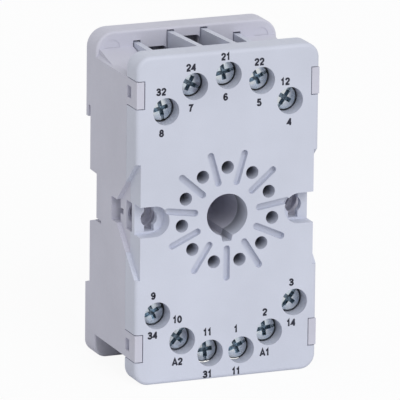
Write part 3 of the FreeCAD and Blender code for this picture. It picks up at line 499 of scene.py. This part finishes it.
def ink_line(text, across, up, height, squeeze, breadth, proud):
    """One printed line laid on the front face and centred on a point, facing -Y.

    Each figure is a band along its centre lines, scaled from one unit to the height; each
    band stands a little further off the face than the last, so that none share a plane.
    """
    points, faces, pen, first = [], [], 0.0, 0
    for figure in text:
        for layer, (run, closed, line) in enumerate(STROKES[figure]):
            line = np.asarray(line, dtype=float)
            if run == "smooth":
                line = smooth_path(line, closed)
            line = line * (height * squeeze, height) + (pen * height * squeeze, 0.0)
            flat, quads = ribbon(line, closed, breadth)
            off = np.full(len(flat), -proud * (1.0 + 0.25 * layer))
            points.append(np.column_stack([flat[:, 0], off, flat[:, 1]]))
            faces.append(quads + first)
            first += len(flat)
        pen += ADVANCE.get(figure, 0.72)
    laid = np.vstack(points)
    middle = (laid[:, 0].min() + laid[:, 0].max()) / 2
    laid += (across - middle, 0.0, up - height / 2)
    return laid, np.vstack(faces)


# Screws whose plating has dulled or tinted more than the others'
SCREW_SHADES = {7: srgb(176, 176, 186), 9: srgb(198, 202, 208), 10: srgb(196, 200, 206),
                11: srgb(200, 202, 204)}


class FinishSettings(bpy.types.PropertyGroup):
    """Colours and grain of the moulded and metal pieces."""

    cover_colour: FloatVectorProperty(
        name="Cover colour", description="Colour of the moulded front cover",
        subtype="COLOR", size=3, min=0.0, max=1.0, default=srgb(206, 210, 224))
    base_colour: FloatVectorProperty(
        name="Base colour", description="Colour of the moulded base housing",
        subtype="COLOR", size=3, min=0.0, max=1.0, default=srgb(204, 204, 217))
    latch_colour: FloatVectorProperty(
        name="Latch colour", description="Colour of the sliding rail latch",
        subtype="COLOR", size=3, min=0.0, max=1.0, default=srgb(64, 66, 74))
    zinc_colour: FloatVectorProperty(
        name="Zinc colour", description="Colour of the plated screws and clamps",
        subtype="COLOR", size=3, min=0.0, max=1.0, default=srgb(240, 244, 246))
    zinc_tint: FloatVectorProperty(
        name="Passivation tint", description="Bluish tint of the plating",
        subtype="COLOR", size=3, min=0.0, max=1.0, default=srgb(224, 234, 242))
    # The painted shade deep in the screws' cross recesses
    recess_shade_colour: FloatVectorProperty(
        name="Recess colour", description="Colour deep in the screws' cross recesses",
        subtype="COLOR", size=3, min=0.0, max=1.0, default=srgb(84, 96, 106))
    brass_colour: FloatVectorProperty(
        name="Brass colour", description="Colour of the contact strips",
        subtype="COLOR", size=3, min=0.0, max=1.0, default=srgb(206, 182, 120))
    grain: FloatProperty(
        name="Grain density", description="Grains of the moulded surface in each metre",
        default=3600.0, min=100.0)
    relief: FloatProperty(
        name="Grain height", description="Height of the moulded grain",
        subtype="DISTANCE", unit="LENGTH", default=0.000012, min=0.0)


class PrintSettings(bpy.types.PropertyGroup):
    """Sizes of the figures printed at the screw holes."""

    figure_height: FloatProperty(
        name="Figure height", description="Height of the printed figures",
        subtype="DISTANCE", unit="LENGTH", default=0.00142)
    squeeze: FloatProperty(
        name="Squeeze", description="Width of the figures against their drawn form",
        default=1.04)
    stroke: FloatProperty(
        name="Stroke", description="Breadth of the figures' strokes",
        subtype="DISTANCE", unit="LENGTH", default=0.00037)
    proud: FloatProperty(
        name="Ink height", description="How far the ink stands off the face",
        subtype="DISTANCE", unit="LENGTH", default=0.000015)
    ink_colour: FloatVectorProperty(
        name="Ink colour", description="Colour of the print",
        subtype="COLOR", size=3, min=0.0, max=1.0, default=srgb(24, 26, 44))


class StageSettings(bpy.types.PropertyGroup):
    """Camera, lamps and floor."""

    azimuth: FloatProperty(
        name="Azimuth", description="Camera's turn about the upright axis, in degrees",
        default=-22.32)
    elevation: FloatProperty(
        name="Elevation", description="Camera's height above the horizon, in degrees",
        default=14.99)
    roll: FloatProperty(
        name="Roll", description="Camera's tilt about its own axis, in degrees",
        default=0.603)
    distance: FloatProperty(
        name="Distance", description="Camera's distance from the point it looks at",
        subtype="DISTANCE", unit="LENGTH", default=1.353)
    lens: FloatProperty(
        name="Lens", description="Focal length in millimetres", default=631.2)
    sun_strength: FloatProperty(
        name="Key strength", description="Strength of the key lamp", default=1.27)
    fill_strength: FloatProperty(
        name="Fill strength", description="Strength of the light from all round",
        default=0.565)


class RELAYSOCKET_OT_housing(bpy.types.Operator):
    """Gives the cover and the base their moulded plastic."""

    bl_idname = "relaysocket.housing"
    bl_label = "Dress housing"

    def execute(self, context):
        look = context.scene.relay_socket_finish
        # Both plastics carry painted shade deep in their hollows
        cover = moulded_plastic("cover_plastic", tuple(look.cover_colour), look.grain,
                                look.relief, 0.50, COVER_HOLLOW_SHADE)
        base = moulded_plastic("base_plastic", tuple(look.base_colour), look.grain * 0.8,
                               look.relief * 1.3, 0.55, BASE_HOLLOW_SHADE)
        finish_node("front_cover", cover)
        finish_node("base_housing", base)
        return {"FINISHED"}


class RELAYSOCKET_OT_metalwork(bpy.types.Operator):
    """Gives screws, clamps and contacts their metals."""

    bl_idname = "relaysocket.metalwork"
    bl_label = "Dress metalwork"

    def execute(self, context):
        look = context.scene.relay_socket_finish
        zinc, tint = tuple(look.zinc_colour), tuple(look.zinc_tint)
        clamp_steel = plated_steel("clamp_zinc", shade(zinc, 0.9), 1500.0, tint)
        brass = stamped_brass("contact_brass", tuple(look.brass_colour))
        for number in NUMBERS:
            across, up = TERMINALS[number]
            finish_node(f"terminal_screw_{number}", screw_zinc(
                f"screw_zinc_{number}", (across * MILLIMETRE, up * MILLIMETRE),
                SCREW_SHADES.get(number, zinc), tint, tuple(look.recess_shade_colour)))
            finish_node(f"clamp_plate_{number}", clamp_steel)
            finish_node(f"contact_{number}", brass)
        return {"FINISHED"}


class RELAYSOCKET_OT_spring(bpy.types.Operator):
    """Winds the latch's coil spring."""

    bl_idname = "relaysocket.spring"
    bl_label = "Wind spring"

    def execute(self, context):
        steel = plated_steel("spring_wire", srgb(150, 152, 156), 5200.0,
                             srgb(140, 146, 152))
        low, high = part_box("latch_spring")
        points, faces = coil(low, high, SPRING_WIRE, SPRING_TURNS)
        piece = new_piece("latch_coil", points, faces, steel, smooth=True)
        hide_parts("latch_spring")
        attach(piece, "housing")
        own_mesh(piece)
        return {"FINISHED"}


class RELAYSOCKET_OT_latch(bpy.types.Operator):
    """Gives the rail latch its darker moulded plastic."""

    bl_idname = "relaysocket.latch"
    bl_label = "Dress latch"

    def execute(self, context):
        look = context.scene.relay_socket_finish
        finish_node("rail_latch", moulded_plastic(
            "latch_plastic", tuple(look.latch_colour), look.grain, look.relief, 0.44))
        return {"FINISHED"}


class RELAYSOCKET_OT_figures(bpy.types.Operator):
    """Prints the terminal's mark and the pin's number at each screw hole."""

    bl_idname = "relaysocket.figures"
    bl_label = "Print figures"

    def execute(self, context):
        look = context.scene.relay_socket_print
        ink = printed_ink("printed_ink", tuple(look.ink_colour))
        points, faces = [], []
        for number, (across, up) in TERMINALS.items():
            for text, aside, rise in PRINTS[number]:
                laid, made = ink_line(
                    text, (across + aside) * MILLIMETRE, (up + rise) * MILLIMETRE,
                    look.figure_height, look.squeeze, look.stroke, look.proud)
                faces.append(made + sum(len(part) for part in points))
                points.append(laid)
        piece = new_piece("terminal_figures", np.vstack(points), np.vstack(faces), ink)
        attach(piece, "housing")
        return {"FINISHED"}


class RELAYSOCKET_OT_stage(bpy.types.Operator):
    """Sets the floor, the soft lamps, the world and the camera."""

    bl_idname = "relaysocket.stage"
    bl_label = "Set stage"

    def execute(self, context):
        look = context.scene.relay_socket_stage
        scene = context.scene
        scene.view_settings.view_transform = "Standard"
        set_world(look.fill_strength)
        lay_floor(CAD_BOX[0][2])
        hang_key_lamp(look.sun_strength)
        stand_camera(look)
        return {"FINISHED"}


def set_world(fill):
    """White where the camera or a reflection looks, and a plain fill elsewhere."""
    world = bpy.data.worlds.new("studio_air")
    world.use_nodes = True
    bpy.context.scene.world = world
    tree = world.node_tree
    paths = tree.nodes.new("ShaderNodeLightPath")
    either = tree.nodes.new("ShaderNodeMath")
    either.operation = "MAXIMUM"
    tree.links.new(paths.outputs["Is Camera Ray"], either.inputs[0])
    tree.links.new(paths.outputs["Is Transmission Ray"], either.inputs[1])
    glossy = tree.nodes.new("ShaderNodeMath")
    glossy.operation = "MULTIPLY"
    glossy.inputs[1].default_value = MIRRORED_AIR
    tree.links.new(paths.outputs["Is Glossy Ray"], glossy.inputs[0])
    seen = tree.nodes.new("ShaderNodeMath")
    seen.operation = "MAXIMUM"
    tree.links.new(either.outputs[0], seen.inputs[0])
    tree.links.new(glossy.outputs[0], seen.inputs[1])
    level = tree.nodes.new("ShaderNodeMapRange")
    level.inputs["To Min"].default_value = fill
    level.inputs["To Max"].default_value = 1.0
    tree.links.new(seen.outputs[0], level.inputs["Value"])
    air = tree.nodes["Background"]
    air.inputs["Color"].default_value = (0.985, 0.99, 1.0, 1.0)
    tree.links.new(level.outputs[0], air.inputs["Strength"])


def lay_floor(height):
    """A pale disc under the socket that meets the white air and keeps a soft shadow."""
    shader = Shader("pale_floor")
    shader.surface.inputs["Base Color"].default_value = (0.86, 0.86, 0.87, 1.0)
    shader.surface.inputs["Roughness"].default_value = 0.9
    shader.surface.inputs["Specular IOR Level"].default_value = 0.0
    grain = shader.noise(shader.place(), 40.0)
    shader.bump(grain, 0.0002, 0.2)
    paths = shader.node("ShaderNodeLightPath", output="Is Camera Ray")
    glow = shader.node("ShaderNodeEmission", None,
                       {"Color": (1.0, 1.0, 1.0, 1.0), "Strength": 1.0})
    body = Link(shader, shader.surface.outputs[0])
    mixed = shader.node("ShaderNodeMixShader", None,
                        {0: paths * FLOOR_GLOW, 1: body, 2: glow})
    shader.feed(shader.output.inputs["Surface"], mixed)
    turns = np.linspace(0.0, 2.0 * math.pi, FLOOR_SIDES + 1)[:-1]
    points = np.column_stack([FLOOR_RADIUS * np.cos(turns), FLOOR_RADIUS * np.sin(turns),
                              np.full(FLOOR_SIDES, float(height))])
    floor = new_piece("studio_floor", points, [tuple(range(FLOOR_SIDES))], shader.material)


def hang_key_lamp(strength):
    """A broad key from the front and above, nearly in the socket's middle plane."""
    lamp = bpy.data.lights.new("key_lamp", "SUN")
    lamp.energy = strength
    lamp.angle = math.radians(KEY_WIDTH)
    holder = bpy.data.objects.new("key_lamp", lamp)
    holder.rotation_mode = "QUATERNION"
    holder.rotation_quaternion = KEY_DIRECTION.to_track_quat("Z", "Y")
    bpy.context.scene.collection.objects.link(holder)


def stand_camera(look):
    """The camera of the photograph: a long lens on a point a little left of the middle."""
    turn, rise = math.radians(look.azimuth), math.radians(look.elevation)
    back = Vector((math.sin(turn) * math.cos(rise), -math.cos(turn) * math.cos(rise),
                   math.sin(rise)))
    right = back.cross(Vector((0, 0, 1))).normalized() * -1.0
    up = back.cross(right)
    tilt = math.radians(look.roll)
    right, up = (right * math.cos(tilt) + up * math.sin(tilt),
                 up * math.cos(tilt) - right * math.sin(tilt))
    eye = bpy.data.cameras.new("photo_camera")
    eye.lens = look.lens
    eye.sensor_width = SENSOR_WIDTH
    eye.clip_start, eye.clip_end = SIGHT
    holder = bpy.data.objects.new("photo_camera", eye)
    holder.matrix_world = Matrix.Translation(LOOKED_AT + back * look.distance) @ Matrix(
        (right, up, back)).transposed().to_4x4()
    bpy.context.scene.collection.objects.link(holder)
    bpy.context.scene.camera = holder


class RELAYSOCKET_PT_panel(bpy.types.Panel):
    """Lists the socket's operators in the sidebar."""

    bl_label = "Relay Socket"
    bl_idname = "RELAYSOCKET_PT_panel"
    bl_space_type = "VIEW_3D"
    bl_region_type = "UI"
    bl_category = "Relay Socket"

    def draw(self, context):
        for operator in OPERATORS:
            self.layout.operator(operator.bl_idname)
        for group in ("relay_socket_finish", "relay_socket_print", "relay_socket_stage"):
            settings = getattr(context.scene, group)
            for name in settings.__annotations__:
                self.layout.prop(settings, name)


SETTINGS = (FinishSettings, PrintSettings, StageSettings)
OPERATORS = (RELAYSOCKET_OT_housing, RELAYSOCKET_OT_metalwork, RELAYSOCKET_OT_latch,
             RELAYSOCKET_OT_spring, RELAYSOCKET_OT_figures, RELAYSOCKET_OT_stage)


def register():
    for kind in SETTINGS + OPERATORS + (RELAYSOCKET_PT_panel,):
        bpy.utils.register_class(kind)
    bpy.types.Scene.relay_socket_finish = PointerProperty(type=FinishSettings)
    bpy.types.Scene.relay_socket_print = PointerProperty(type=PrintSettings)
    bpy.types.Scene.relay_socket_stage = PointerProperty(type=StageSettings)


def unregister():
    del bpy.types.Scene.relay_socket_stage
    del bpy.types.Scene.relay_socket_print
    del bpy.types.Scene.relay_socket_finish
    for kind in reversed(SETTINGS + OPERATORS + (RELAYSOCKET_PT_panel,)):
        bpy.utils.unregister_class(kind)


def main():
    register()
    bpy.ops.relaysocket.housing()
    bpy.ops.relaysocket.metalwork()
    bpy.ops.relaysocket.latch()
    bpy.ops.relaysocket.spring()
    bpy.ops.relaysocket.figures()
    bpy.ops.relaysocket.stage()


if __name__ == "__main__":
    main()
